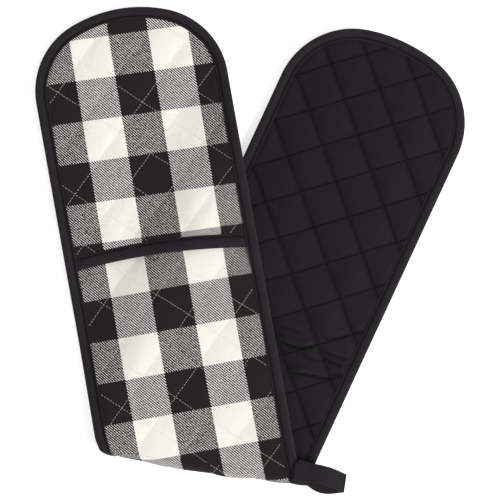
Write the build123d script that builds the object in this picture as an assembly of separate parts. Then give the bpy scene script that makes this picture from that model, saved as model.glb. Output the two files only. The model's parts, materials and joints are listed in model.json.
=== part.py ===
from build123d import *

import os
from dataclasses import dataclass
from math import atan2, cos, degrees, radians, sin, sqrt, tan

# A double oven glove: one long quilted strip with a hand pocket at each rounded end, folded in
# half and laid flat.  The half on top shows its check side, the half under it its black side.
# All lengths are in millimetres, all angles in degrees.

# ---- plan of the strip -------------------------------------------------------------------------
STRIP_WIDTH = 182.0
UPPER_LENGTH = 442.0  # from the visible edge of the fold to the tip of the rounded end
UPPER_CROWN_RADIUS = 126.0  # the flat top of the rounded end
UPPER_SHOULDER_RADIUS = 71.0  # the tighter corners beside it
LOWER_LENGTH = 446.0
LOWER_CROWN_RADIUS = 150.0
LOWER_SHOULDER_RADIUS = 74.0
UPPER_LEAN = 10.1  # the upper half leans this far anticlockwise from +Y
FOLD_SKEW = 17.45  # the fold crosses the strip this far from square
FOLD_SIDESTEP = 3.0  # the lower half sits this far to the right along the fold
MOUTH_DISTANCE = 210.0  # from the visible edge of the fold to the mouth of a pocket

# ---- layers ------------------------------------------------------------------------------------
FABRIC = 0.6  # one layer of cloth, and the binding tape
WADDING = 3.4
POCKET_WADDING = 2.4
HAND_GAP = 5.0  # room left between the panel and its pocket
BINDING_WIDTH = 11.0
MOUTH_BINDING_WIDTH = 13.0
CLEARANCE = 0.3  # between cloths that move against each other
POCKET_END_CLEARANCE = 1.5  # lets the pocket tip up without touching the binding

PANEL = FABRIC + WADDING + FABRIC
POCKET = FABRIC + POCKET_WADDING + FABRIC
POCKET_START = PANEL + HAND_GAP  # measured from the black side of the panel
POCKET_END = POCKET_START + POCKET

# ---- heights of the underside of each half's panel ---------------------------------------------
LOWER_AT_FOLD = FABRIC
LOWER_OVER_POCKET = FABRIC + POCKET + HAND_GAP
UPPER_ON_STACK = LOWER_OVER_POCKET + PANEL + FABRIC + CLEARANCE + FABRIC
UPPER_ON_TABLE = FABRIC
LOWER_RAMP = (50.0, 175.0)  # along the lower half, from the fold
UPPER_RAMP = (4.0, 74.0)  # away from the left edge of the lower half

# ---- fold --------------------------------------------------------------------------------------
FOLD_INNER_RADIUS = (UPPER_ON_STACK - LOWER_AT_FOLD - PANEL) / 2
FOLD_OUTER_RADIUS = FOLD_INNER_RADIUS + PANEL
FOLD_BULGE = FOLD_OUTER_RADIUS + FABRIC
FOLD_HEIGHT = LOWER_AT_FOLD + PANEL + FOLD_INNER_RADIUS
FOLD_GAP = 0.15  # each half ends this far short of the fold's axis

# ---- hanging loop ------------------------------------------------------------------------------
LOOP_TAPE_WIDTH = 16.0
LOOP_TAPE_THICKNESS = 0.9
LOOP_FLAT = 11.0  # the strands lie together, level with the sewn end, before they part
LOOP_LENGTH = 42.0
LOOP_DIP = -20.0  # the loop points right and towards the viewer
LOOP_ROOT = (95.5, 15.5)  # along the fold from its middle, and up from its visible edge
LOOP_TIP_DROP = 12.0  # how far the tip hangs below the root
LOOP_TOP_BOW = 4.0
LOOP_BOTTOM_BOW = 7.0
SEWN_END_CENTRE = (88.0, 15.5)
SEWN_END_LENGTH = 10.5
SEWN_END_THICKNESS = 1.2

REACH = 700.0  # longer than anything in the object
UP = Vector(0, 0, 1)


def plan_direction(angle):
    return Vector(cos(radians(angle)), sin(radians(angle)), 0)


FOLD_ANGLE = UPPER_LEAN - FOLD_SKEW
ALONG_FOLD = plan_direction(FOLD_ANGLE)
ACROSS_FOLD = plan_direction(FOLD_ANGLE + 90)


@dataclass
class Half:
    """One half of the strip: where it lies, and how its height changes along one direction."""

    name: str
    origin: Vector  # where its centre line meets the visible edge of the fold
    lean: float
    skew: float  # direction in which the fold crosses it
    length: float
    crown_radius: float
    shoulder_radius: float
    check_side_up: bool
    ramp_origin: Vector
    ramp_direction: Vector
    ramp: tuple
    levels: tuple  # underside of the panel before and after the ramp


def make_halves():
    lower_lean = UPPER_LEAN - 2 * FOLD_SKEW
    lower_origin = ALONG_FOLD * FOLD_SIDESTEP
    lower_axis = plan_direction(lower_lean + 90)
    lower_left = plan_direction(lower_lean + 180)
    lower = Half(
        "lower", lower_origin, lower_lean, -FOLD_SKEW,
        LOWER_LENGTH, LOWER_CROWN_RADIUS, LOWER_SHOULDER_RADIUS, False,
        lower_origin, lower_axis, LOWER_RAMP, (LOWER_AT_FOLD, LOWER_OVER_POCKET),
    )
    upper = Half(
        "upper", Vector(0, 0, 0), UPPER_LEAN, FOLD_SKEW,
        UPPER_LENGTH, UPPER_CROWN_RADIUS, UPPER_SHOULDER_RADIUS, True,
        lower_origin + lower_left * (STRIP_WIDTH / 2), lower_left, UPPER_RAMP,
        (UPPER_ON_STACK, UPPER_ON_TABLE),
    )
    return lower, upper


# ---- plan shapes -------------------------------------------------------------------------------
def half_outline(half, inset):
    """Outline of a half in its own frame: x across the strip, y from the fold to the tip."""
    side = STRIP_WIDTH / 2 - inset
    crown = half.crown_radius - inset
    shoulder = half.shoulder_radius - inset
    centre_distance = half.crown_radius - half.shoulder_radius
    shoulder_x = STRIP_WIDTH / 2 - half.shoulder_radius
    crown_y = half.length - half.crown_radius
    skew = radians(half.skew)
    shoulder_rise = sqrt(centre_distance**2 - shoulder_x**2)
    shoulder_y = crown_y + shoulder_rise
    meeting_angle = atan2(shoulder_rise, shoulder_x)

    def on_shoulder(hand, angle):
        return (hand * (shoulder_x + shoulder * cos(angle)), shoulder_y + shoulder * sin(angle))

    def on_fold(x):
        return (x, (FOLD_BULGE + FOLD_GAP - x * sin(skew)) / cos(skew))

    right, left = 1, -1
    edges = [
        Line(on_fold(side), on_shoulder(right, 0)),
        ThreePointArc(
            on_shoulder(right, 0), on_shoulder(right, meeting_angle / 2), on_shoulder(right, meeting_angle)
        ),
        ThreePointArc(
            on_shoulder(right, meeting_angle), (0, crown_y + crown), on_shoulder(left, meeting_angle)
        ),
        ThreePointArc(
            on_shoulder(left, meeting_angle), on_shoulder(left, meeting_angle / 2), on_shoulder(left, 0)
        ),
        Line(on_shoulder(left, 0), on_fold(-side)),
        Line(on_fold(-side), on_fold(side)),
    ]
    return make_face(Curve() + edges)


def place_half(half, shape):
    return Pos(half.origin) * Rot(0, 0, half.lean) * shape


def half_prism(half, inset):
    return place_half(half, extrude(half_outline(half, inset), REACH / 2, both=True))


def crosswise_block(half, start, end):
    """Everything between two distances from the fold, measured along the half."""
    block = Box(REACH, end - start, REACH)
    return place_half(half, Pos(0, (start + end) / 2, 0) * block)


def pocket_prism(half):
    """Plan of the loose part of a pocket: inside the binding, and just clear of it."""
    shape = extrude(half_outline(half, BINDING_WIDTH + CLEARANCE), REACH / 2, both=True)
    pulled_back = place_half(half, Pos(0, -POCKET_END_CLEARANCE, 0) * shape)
    return pulled_back & crosswise_block(half, MOUTH_DISTANCE, REACH)


# ---- heights -----------------------------------------------------------------------------------
def ramp_line(start, end):
    """A level line that passes smoothly, by two equal arcs, to another level line."""
    half_run = (end[0] - start[0]) / 2
    half_rise = (end[1] - start[1]) / 2
    turn = 2 * atan2(half_rise, half_run)
    radius = half_run / sin(turn)
    arc_run = radius * sin(turn / 2)
    arc_rise = radius * (1 - cos(turn / 2))
    middle = (start[0] + half_run, start[1] + half_rise)
    return [
        Line((-REACH, start[1]), start),
        ThreePointArc(start, (start[0] + arc_run, start[1] + arc_rise), middle),
        ThreePointArc(middle, (end[0] - arc_run, end[1] - arc_rise), end),
        Line(end, (REACH, end[1])),
    ]


def draped_slab(half, start, end):
    """A layer that follows the lie of the half.

    start and end are measured through the cloth from its black side, so that the pockets lie
    beyond the check side on both halves."""
    low, high = (start, end) if half.check_side_up else (PANEL - end, PANEL - start)
    ramp_start, ramp_end = half.ramp
    before, after = half.levels
    sides = []
    for offset in (low, high):
        sides += ramp_line((ramp_start, before + offset), (ramp_end, after + offset))
    sides += [
        Line((-REACH, before + low), (-REACH, before + high)),
        Line((REACH, after + low), (REACH, after + high)),
    ]
    across = half.ramp_direction.cross(UP)
    plane = Plane(half.ramp_origin, x_dir=half.ramp_direction, z_dir=across)
    return extrude(plane * make_face(Curve() + sides), REACH, both=True)


# ---- the two halves ----------------------------------------------------------------------------
def panel_layers(half):
    prism = half_prism(half, FABRIC)
    layers = {
        "black_backing": (0, FABRIC),
        "wadding": (FABRIC, FABRIC + WADDING),
        "check_face": (FABRIC + WADDING, PANEL),
    }
    return {
        f"{half.name}_{name}": prism & draped_slab(half, start, end)
        for name, (start, end) in layers.items()
    }


def edge_ring(half):
    return half_prism(half, 0) - half_prism(half, BINDING_WIDTH)


def edge_binding(half):
    """The tape folded round the edge of the panel."""
    channel = half_prism(half, FABRIC) & draped_slab(half, 0, PANEL)
    return (edge_ring(half) & draped_slab(half, -FABRIC, PANEL + FABRIC)) - channel


def pocket_side_seam(half):
    """The border of the pocket, stitched down to the panel under the edge binding."""
    beside_pocket = edge_ring(half) & crosswise_block(half, MOUTH_DISTANCE, REACH)
    return beside_pocket & draped_slab(half, PANEL + FABRIC, POCKET_END + FABRIC)


def pocket_layers(half):
    prism = pocket_prism(half) & crosswise_block(half, MOUTH_DISTANCE + FABRIC, REACH)
    lining_end = POCKET_START + FABRIC
    layers = {
        "lining": (POCKET_START, lining_end),
        "wadding": (lining_end, lining_end + POCKET_WADDING),
        "check_panel": (lining_end + POCKET_WADDING, POCKET_END),
    }
    return {
        f"{half.name}_pocket_{name}": prism & draped_slab(half, start, end)
        for name, (start, end) in layers.items()
    }


def mouth_binding(half):
    mouth_end = MOUTH_DISTANCE + MOUTH_BINDING_WIDTH
    around = (
        pocket_prism(half)
        & crosswise_block(half, MOUTH_DISTANCE, mouth_end)
        & draped_slab(half, POCKET_START - FABRIC, POCKET_END + FABRIC)
    )
    inside = crosswise_block(half, MOUTH_DISTANCE + FABRIC, REACH)
    return around - (inside & draped_slab(half, POCKET_START, POCKET_END))


# ---- the fold ----------------------------------------------------------------------------------
def fold_window(inset):
    """The width of the strip as it turns through the fold, from the lower half to the upper."""
    half_width = (STRIP_WIDTH / 2 - inset) / cos(radians(FOLD_SKEW))
    shift = FOLD_BULGE * tan(radians(FOLD_SKEW))
    upper_middle = -shift
    lower_middle = shift + FOLD_SIDESTEP
    drift = (upper_middle - lower_middle) / (FOLD_INNER_RADIUS + FOLD_OUTER_RADIUS)
    centre = (upper_middle + lower_middle) / 2
    reach = 2 * FOLD_BULGE
    corners = [
        (centre - drift * reach - half_width, -reach),
        (centre - drift * reach + half_width, -reach),
        (centre + drift * reach + half_width, reach),
        (centre + drift * reach - half_width, reach),
    ]
    plane = Plane(UP * FOLD_HEIGHT, x_dir=ALONG_FOLD, z_dir=ALONG_FOLD.cross(UP))
    return extrude(plane * make_face(Polyline(*corners, close=True)), REACH / 2, both=True)


def fold_turn(inner_radius, outer_radius):
    """Half of a tube on the outside of the fold."""
    centre = ACROSS_FOLD * FOLD_BULGE + UP * FOLD_HEIGHT
    plane = Plane(centre, x_dir=ACROSS_FOLD, z_dir=ACROSS_FOLD.cross(UP))
    ring = Circle(outer_radius) - Circle(inner_radius)
    outside = Pos(-FOLD_BULGE, 0, 0) * Rectangle(2 * FOLD_BULGE, 4 * FOLD_BULGE)
    return extrude(plane * (ring & outside), REACH / 2, both=True)


def fold_parts():
    window = fold_window(FABRIC)
    backing_end = FOLD_INNER_RADIUS + FABRIC
    wadding_end = backing_end + WADDING
    whole_turn = fold_turn(FOLD_INNER_RADIUS - FABRIC, FOLD_BULGE)
    channel = window & fold_turn(FOLD_INNER_RADIUS, FOLD_OUTER_RADIUS)
    bindings = (fold_window(0) - fold_window(BINDING_WIDTH)) & whole_turn
    left_side = Plane(UP * 0, x_dir=ALONG_FOLD, z_dir=UP) * Pos(-REACH / 2, 0, 0) * Box(REACH, REACH, REACH)
    return {
        "fold_black_backing": window & fold_turn(FOLD_INNER_RADIUS, backing_end),
        "fold_wadding": window & fold_turn(backing_end, wadding_end),
        "fold_check_face": window & fold_turn(wadding_end, FOLD_OUTER_RADIUS),
        "fold_left_binding": (bindings & left_side) - channel,
        "fold_right_binding": (bindings - left_side) - channel,
    }


# ---- the hanging loop --------------------------------------------------------------------------
def fold_point(along, across, height):
    return ALONG_FOLD * along + ACROSS_FOLD * across + UP * height


def hanging_loop():
    """A tape folded double: its strands lie together, then bow apart and leave an eye."""
    sewn_end_middle = UPPER_ON_STACK + PANEL + FABRIC + SEWN_END_THICKNESS / 2
    root = fold_point(*LOOP_ROOT, sewn_end_middle)
    along = plan_direction(LOOP_DIP)
    plane = Plane(root, x_dir=along, z_dir=along.cross(UP))
    half_tape = LOOP_TAPE_THICKNESS / 2
    middle = (LOOP_FLAT + LOOP_LENGTH) / 2
    top_middle = (middle, LOOP_TOP_BOW - LOOP_TIP_DROP / 2)
    bottom_middle = (middle, -LOOP_BOTTOM_BOW - LOOP_TIP_DROP / 2)
    top_tip = (LOOP_LENGTH, -LOOP_TIP_DROP + LOOP_TAPE_THICKNESS)
    bottom_tip = (LOOP_LENGTH, -LOOP_TIP_DROP - LOOP_TAPE_THICKNESS)
    outside = make_face(
        Curve()
        + [
            ThreePointArc((LOOP_FLAT, half_tape), top_middle, top_tip),
            Line(top_tip, bottom_tip),
            ThreePointArc(bottom_tip, bottom_middle, (LOOP_FLAT, -half_tape)),
            Line((LOOP_FLAT, -half_tape), (LOOP_FLAT, half_tape)),
        ]
    )
    eye = offset(outside, amount=-LOOP_TAPE_THICKNESS)
    flat = Pos(LOOP_FLAT / 2, 0) * Rectangle(LOOP_FLAT, LOOP_TAPE_THICKNESS)
    return extrude(plane * (outside - eye + flat), LOOP_TAPE_WIDTH / 2, both=True)


def loop_sewn_end():
    """The flat end of the tape, stitched on top of the binding beside the fold."""
    top = UPPER_ON_STACK + PANEL + FABRIC + SEWN_END_THICKNESS
    centre = fold_point(*SEWN_END_CENTRE, top - SEWN_END_THICKNESS / 2)
    pad = Box(SEWN_END_LENGTH, LOOP_TAPE_WIDTH, SEWN_END_THICKNESS)
    return Pos(centre) * Rot(0, 0, FOLD_ANGLE) * pad


# ---- assembly ----------------------------------------------------------------------------------
def build_parts():
    parts = {}
    for half in make_halves():
        parts.update(panel_layers(half))
        parts[f"{half.name}_edge_binding"] = edge_binding(half)
        parts[f"{half.name}_pocket_side_seam"] = pocket_side_seam(half)
        parts.update(pocket_layers(half))
        parts[f"{half.name}_pocket_mouth_binding"] = mouth_binding(half)
    parts.update(fold_parts())
    parts["hanging_loop"] = hanging_loop()
    parts["loop_sewn_end"] = loop_sewn_end()
    return parts


def centred_on_origin(parts):
    """Puts the middle of the underside of the whole object at the origin."""
    box = Compound(children=[Compound([*part.solids()]) for part in parts.values()]).bounding_box()
    shift = Pos(-box.center().X, -box.center().Y, -box.min.Z)
    return {name: shift * part for name, part in parts.items()}, shift


def main():
    os.makedirs("parts", exist_ok=True)
    parts, shift = centred_on_origin(build_parts())
    print("fold middle lies at", shift.position)
    for name, part in parts.items():
        solids = part.solids()
        print(name, len(solids), round(sum(solid.volume for solid in solids)))
        export_step(solids[0], f"parts/{name}.step")


main()
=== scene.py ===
"""A double oven glove, folded in half: its look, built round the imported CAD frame.

Lengths are in millimetres, and make_piece() turns them into the frame's metres.  A place on a half
of the strip is (t, s, u): t runs across it, s along it from the fold, and u through the cloth from
its black side to its check side and on into the pocket."""
import json
import math

import bpy
import numpy as np
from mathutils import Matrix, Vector


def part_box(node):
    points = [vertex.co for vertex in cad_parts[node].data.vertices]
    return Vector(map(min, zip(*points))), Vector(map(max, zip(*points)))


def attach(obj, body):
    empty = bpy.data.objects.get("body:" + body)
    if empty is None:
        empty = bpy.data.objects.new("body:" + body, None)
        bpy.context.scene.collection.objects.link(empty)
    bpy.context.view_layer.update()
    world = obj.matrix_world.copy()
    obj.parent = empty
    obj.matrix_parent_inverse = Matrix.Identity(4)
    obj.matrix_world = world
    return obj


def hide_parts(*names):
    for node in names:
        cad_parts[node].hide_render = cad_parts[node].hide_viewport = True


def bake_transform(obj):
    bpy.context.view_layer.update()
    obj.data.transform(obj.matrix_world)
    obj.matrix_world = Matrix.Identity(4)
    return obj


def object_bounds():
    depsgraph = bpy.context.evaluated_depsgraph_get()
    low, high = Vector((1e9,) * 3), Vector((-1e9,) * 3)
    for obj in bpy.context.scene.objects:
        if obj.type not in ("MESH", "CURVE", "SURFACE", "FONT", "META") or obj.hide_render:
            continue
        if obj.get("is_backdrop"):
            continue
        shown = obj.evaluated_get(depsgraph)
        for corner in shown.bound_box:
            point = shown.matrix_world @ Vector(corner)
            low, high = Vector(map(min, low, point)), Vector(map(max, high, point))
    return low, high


MM = 0.001
UP = np.array([0.0, 0.0, 1.0])

# ---- plan of the strip, as in the CAD ----
HALF_WIDTH = 91.0
FOLD_SKEW = math.radians(17.45)
FOLD_SIDESTEP = 3.0
BINDING = 11.0
PANEL = 4.6
HAND_GAP = 3.2
HAND_GAP_LOST = 0.5  # share of it, at the tip
FOLD_RADIUS = 5.05  # from the fold's axis to the black side
FOLD_BULGE = 10.25
MOUTH = 209.0  # of a pocket, on the centre line; it slants and arches a little
MOUTH_SLANT = 0.037
MOUTH_ARCH = 0.00083

# ---- where levels change, as (start, end) ----
LOWER_RAMP = (50.0, 175.0)  # along the lower half: it rises onto its own pocket
BORDER_RAMP = (159.0, 219.0)  # and so does its border
UPPER_RAMP = (4.0, 74.0)  # beyond the lower half's edge: the upper half sinks to the table
BELLY_RAMP = (8.0, 60.0)  # inside the edge: from the binding to the full level
PUFF_RAMP = (8.0, 15.0)  # inside the edge: from no puffs to full ones
POCKET_PUFF_RAMP = (8.0, 18.0)  # beyond the mouth
POCKET_SEAM_RAMP = (175.0, 201.0)  # along a half: the edge binding takes in the pocket
CORNER_RAMP = (39.0, 55.0)  # along the upper half: the pull on its corner is lost
MOUTH_DIP_RAMP = (74.0, 82.0)  # off the centre line: the mouth binding goes under the edge's

# ---- cloth ----
CLOTH = 0.5
BESIDE_CLOTH = 0.15  # clearance between the wadding and its cloths
POCKET_BITE = 0.2  # the wadding presses into the pocket's cloth
LINING_CLEARANCE = 0.2
POCKET_SEAM = 0.9  # what a pocket's seam adds to its stitched thickness
UNEVEN_PUFFS = 0.08
UNEVEN_POCKET_PUFFS = 0.10
UNEVEN_SIZE = 70.0
STITCHED_THICKNESS = 1.7  # panel, where the quilting holds it
CHECK_RISE = 1.05  # of the puffs, on each side of the panel
BLACK_RISE = {"lower": 2.6, "upper": 1.3}
POCKET_STITCHED = 1.4
POCKET_PUFFED = 2.75
ABOVE_TABLE = 0.1  # the table holds the check side of the lower half up to this height
CLOTHS_IN_MOUTH = 1.2  # the pocket's cloths start this far inside its mouth's binding
TUCKED_UNDER = 4.0  # the cloths end this far inside the strip's edge, under the binding
MESH_STEP = 1.4
SQUARE = 37.1  # of the check, across the strip
PANEL_SQUARE = 38.9  # along it, on the strip
POCKET_SQUARE = 38.3  # along it, on a pocket
PANEL_CHECK_AT = (16.5, 21.0)  # a corner of the check: left of the centre line, and along
POCKET_CHECK_AT = (14.0, 303.2)
PANEL_DRAWN_ASIDE = 0.01  # slope of the check's lines, along the strip
PANEL_STRAIGHT_FROM = 90.0
POCKET_DRAWN_ASIDE = 0.012
POCKET_TRUE_AT = 340.0
POCKET_TURNED = 0.04
WARPS_PER_CHECK = 62
WEFTS_PER_CHECK = 54
WARP_HALF_LINE = 0.88  # of a white line of twill among black yarns, in yarns
WEFT_HALF_LINE = 0.51
UNEVEN_LINE = 1.1  # how far the width of a line of twill strays, in yarns

# ---- simulation of the quilting ----
ROLL_ROUNDNESS = 2.6
DIAMOND_SHARE = 0.6  # of the puffs' rise; the rest follows the deeper lines only
SIM_STEP = 2.0
SIM_START = -36.0
SIM_END = 450.0
SIM_FRAMES = 14
SIM_FIRST_RISE = 1.0  # the cloth starts slightly domed, so that it doesn't buckle down
SIM_FIRST_UNEVENNESS = 0.08
SIM_CLOTH = {
    "quality": 4,
    "mass": 0.001,
    "tension_stiffness": 15,
    "compression_stiffness": 15,
    "shear_stiffness": 5,
    "bending_stiffness": 0.3,
    "air_damping": 2,
    "vertex_group_mass": "held",
    "shrink_min": -0.012,
    "use_pressure": True,
    "uniform_pressure_force": 50.0,
}
STITCH_HOLD = 1.3  # cloth this near a line of quilting doesn't rise
FULL_PUFF = 96  # percentile of the simulated heights that counts as a full puff
HIGHEST_PUFF = 1.15

# ---- stitches ----
SEAM_SHADE_REACH = 1.1  # of the painted shade beside a line of stitches
DEEPER_WIDENING = 2.2
STITCH_PITCH = 3.1
STITCH_LENGTH = 2.3
THREAD_RADIUS = 0.15
BLACK_THREAD_RADIUS = 0.36


def smooth(x):
    """0 before 0, 1 after 1, and a soft step between."""
    x = np.clip(x, 0.0, 1.0)
    return x * x * (3 - 2 * x)


def ease(x, start, end):
    """0 before start, 1 after end, and a soft step between."""
    return smooth((x - start) / (end - start))


def mix(a, b, share):
    return a * (1 - share) + b * share


def paired(t, s):
    return np.stack([t, s], axis=-1)


def direction(angle):
    return np.array([math.cos(angle), math.sin(angle), 0.0])


def ripples(t, s, size, seed):
    """Soft seeded unevenness between about -1 and 1, with waves about size across."""
    rng = np.random.default_rng(seed)
    total = np.zeros_like(t, dtype=float)
    waves = 7
    for _ in range(waves):
        angle = rng.uniform(0, math.tau)
        length = size * rng.uniform(0.7, 1.8)
        phase = rng.uniform(0, math.tau)
        total += np.sin((t * math.cos(angle) + s * math.sin(angle)) * math.tau / length + phase)
    return total / math.sqrt(waves)


# ---- frame ----
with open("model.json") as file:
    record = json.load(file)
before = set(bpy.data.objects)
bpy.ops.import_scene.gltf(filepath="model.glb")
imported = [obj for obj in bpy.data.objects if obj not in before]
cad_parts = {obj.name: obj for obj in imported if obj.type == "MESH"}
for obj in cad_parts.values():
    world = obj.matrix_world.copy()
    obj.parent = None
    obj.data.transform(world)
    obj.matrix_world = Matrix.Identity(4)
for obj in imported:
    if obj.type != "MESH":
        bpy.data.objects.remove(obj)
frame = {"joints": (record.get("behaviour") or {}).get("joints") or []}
cad_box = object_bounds()


def joint_line(name):
    """A point of a joint's axis, and its direction."""
    joint = next(joint for joint in frame["joints"] if joint["name"] == name)
    return np.array(joint["pos_m"]) / MM, np.array(joint["axis"])


FOLD_AXIS_POINT, ALONG_FOLD = joint_line("middle_fold")
ACROSS_FOLD = np.cross(UP, ALONG_FOLD)
FOLD_HEIGHT = FOLD_AXIS_POINT[2]
FOLD_MIDDLE = FOLD_AXIS_POINT * (1, 1, 0) - ACROSS_FOLD * FOLD_BULGE
FOLD_ANGLE = math.atan2(ALONG_FOLD[1], ALONG_FOLD[0])


class Quilting:
    """Two families of slanting lines, and how the cloth puffs up between them."""

    def __init__(self, name, rising, falling, deeper):
        self.name = name
        self.families = (rising, falling)
        self.deeper = (rising, falling)[deeper]
        self.field = None

    @staticmethod
    def off_line(family, t, s):
        """0 on a family's lines and 1/2 midway between them."""
        slope, start, spacing = family
        steps = (s - slope * t - start) / spacing
        return np.abs(steps - np.round(steps))

    def distance(self, family, t, s):
        """To the nearest line of a family."""
        slope, _, spacing = family
        return self.off_line(family, t, s) * spacing / math.hypot(1, slope)

    def line_distance(self, t, s):
        return np.minimum(*(self.distance(family, t, s) for family in self.families))

    def seam(self, t, s):
        """How much painted shade falls beside the stitches: 1 on a line of stitches and 0 away from
        it.  The deeper lines are wider.
        """
        nearness = np.zeros_like(t)
        for family in self.families:
            reach = SEAM_SHADE_REACH * (DEEPER_WIDENING if family is self.deeper else 1)
            nearness = np.maximum(nearness, np.exp(-((self.distance(family, t, s) / reach) ** 2)))
        return nearness

    def roll(self, family, t, s):
        """A rounded roll between a family's lines: 0 on them and 1 midway."""
        return 1 - (1 - 2 * self.off_line(family, t, s)) ** ROLL_ROUNDNESS

    def plain_puff(self, t, s):
        """The puffs without simulation: round-shouldered pillows."""
        return self.roll(self.families[0], t, s) * self.roll(self.families[1], t, s)

    def puff(self, t, s):
        """0 on the deeper lines, and about 1 in the middle of a diamond."""
        return mix(self.roll(self.deeper, t, s), self.diamond(t, s), DIAMOND_SHARE)

    def diamond(self, t, s):
        """0 on any line of stitches, as blown up by the simulation."""
        if self.field is None:
            return self.plain_puff(t, s)
        column = np.clip((t + HALF_WIDTH) / SIM_STEP, 0, self.field.shape[1] - 1.001)
        row = np.clip((s - SIM_START) / SIM_STEP, 0, self.field.shape[0] - 1.001)
        i, j = column.astype(int), row.astype(int)
        x, y = column - i, row - j
        before = mix(self.field[j, i], self.field[j, i + 1], x)
        after = mix(self.field[j + 1, i], self.field[j + 1, i + 1], x)
        return mix(before, after, y)

    def simulate(self):
        """Blender's Cloth, held along the quilting and blown up from below."""
        columns = int(2 * HALF_WIDTH / SIM_STEP) + 1
        rows = int((SIM_END - SIM_START) / SIM_STEP) + 1
        t, s = np.meshgrid(
            -HALF_WIDTH + SIM_STEP * np.arange(columns), SIM_START + SIM_STEP * np.arange(rows)
        )
        uneven = SIM_FIRST_UNEVENNESS * ripples(t, s, 14.0, 5)
        rise = SIM_FIRST_RISE * self.plain_puff(t, s) + uneven
        points = np.stack([t, s, rise], axis=-1).reshape(-1, 3)
        sheet = make_object(f"{self.name}_simulated", points, grid_faces(rows, columns))
        held = self.line_distance(t, s) < STITCH_HOLD
        held[[0, -1], :] = True
        held[:, [0, -1]] = True
        group = sheet.vertex_groups.new(name="held")
        group.add(np.flatnonzero(held.ravel()).tolist(), 1.0, "REPLACE")
        cloth = sheet.modifiers.new("cloth", "CLOTH")
        for setting, value in SIM_CLOTH.items():
            setattr(cloth.settings, setting, value)
        cloth.settings.effector_weights.gravity = 0
        cloth.collision_settings.use_collision = False
        cloth.collision_settings.use_self_collision = False
        cloth.point_cache.frame_start = 1
        cloth.point_cache.frame_end = SIM_FRAMES
        scene = bpy.context.scene
        for number in range(1, SIM_FRAMES + 1):
            scene.frame_set(number)
        blown = sheet.evaluated_get(bpy.context.evaluated_depsgraph_get()).data
        heights = np.array([vertex.co.z for vertex in blown.vertices]).reshape(rows, columns)
        bpy.data.objects.remove(sheet)
        scene.frame_set(1)
        self.field = np.clip(heights / np.percentile(heights, FULL_PUFF), 0, HIGHEST_PUFF)


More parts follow.
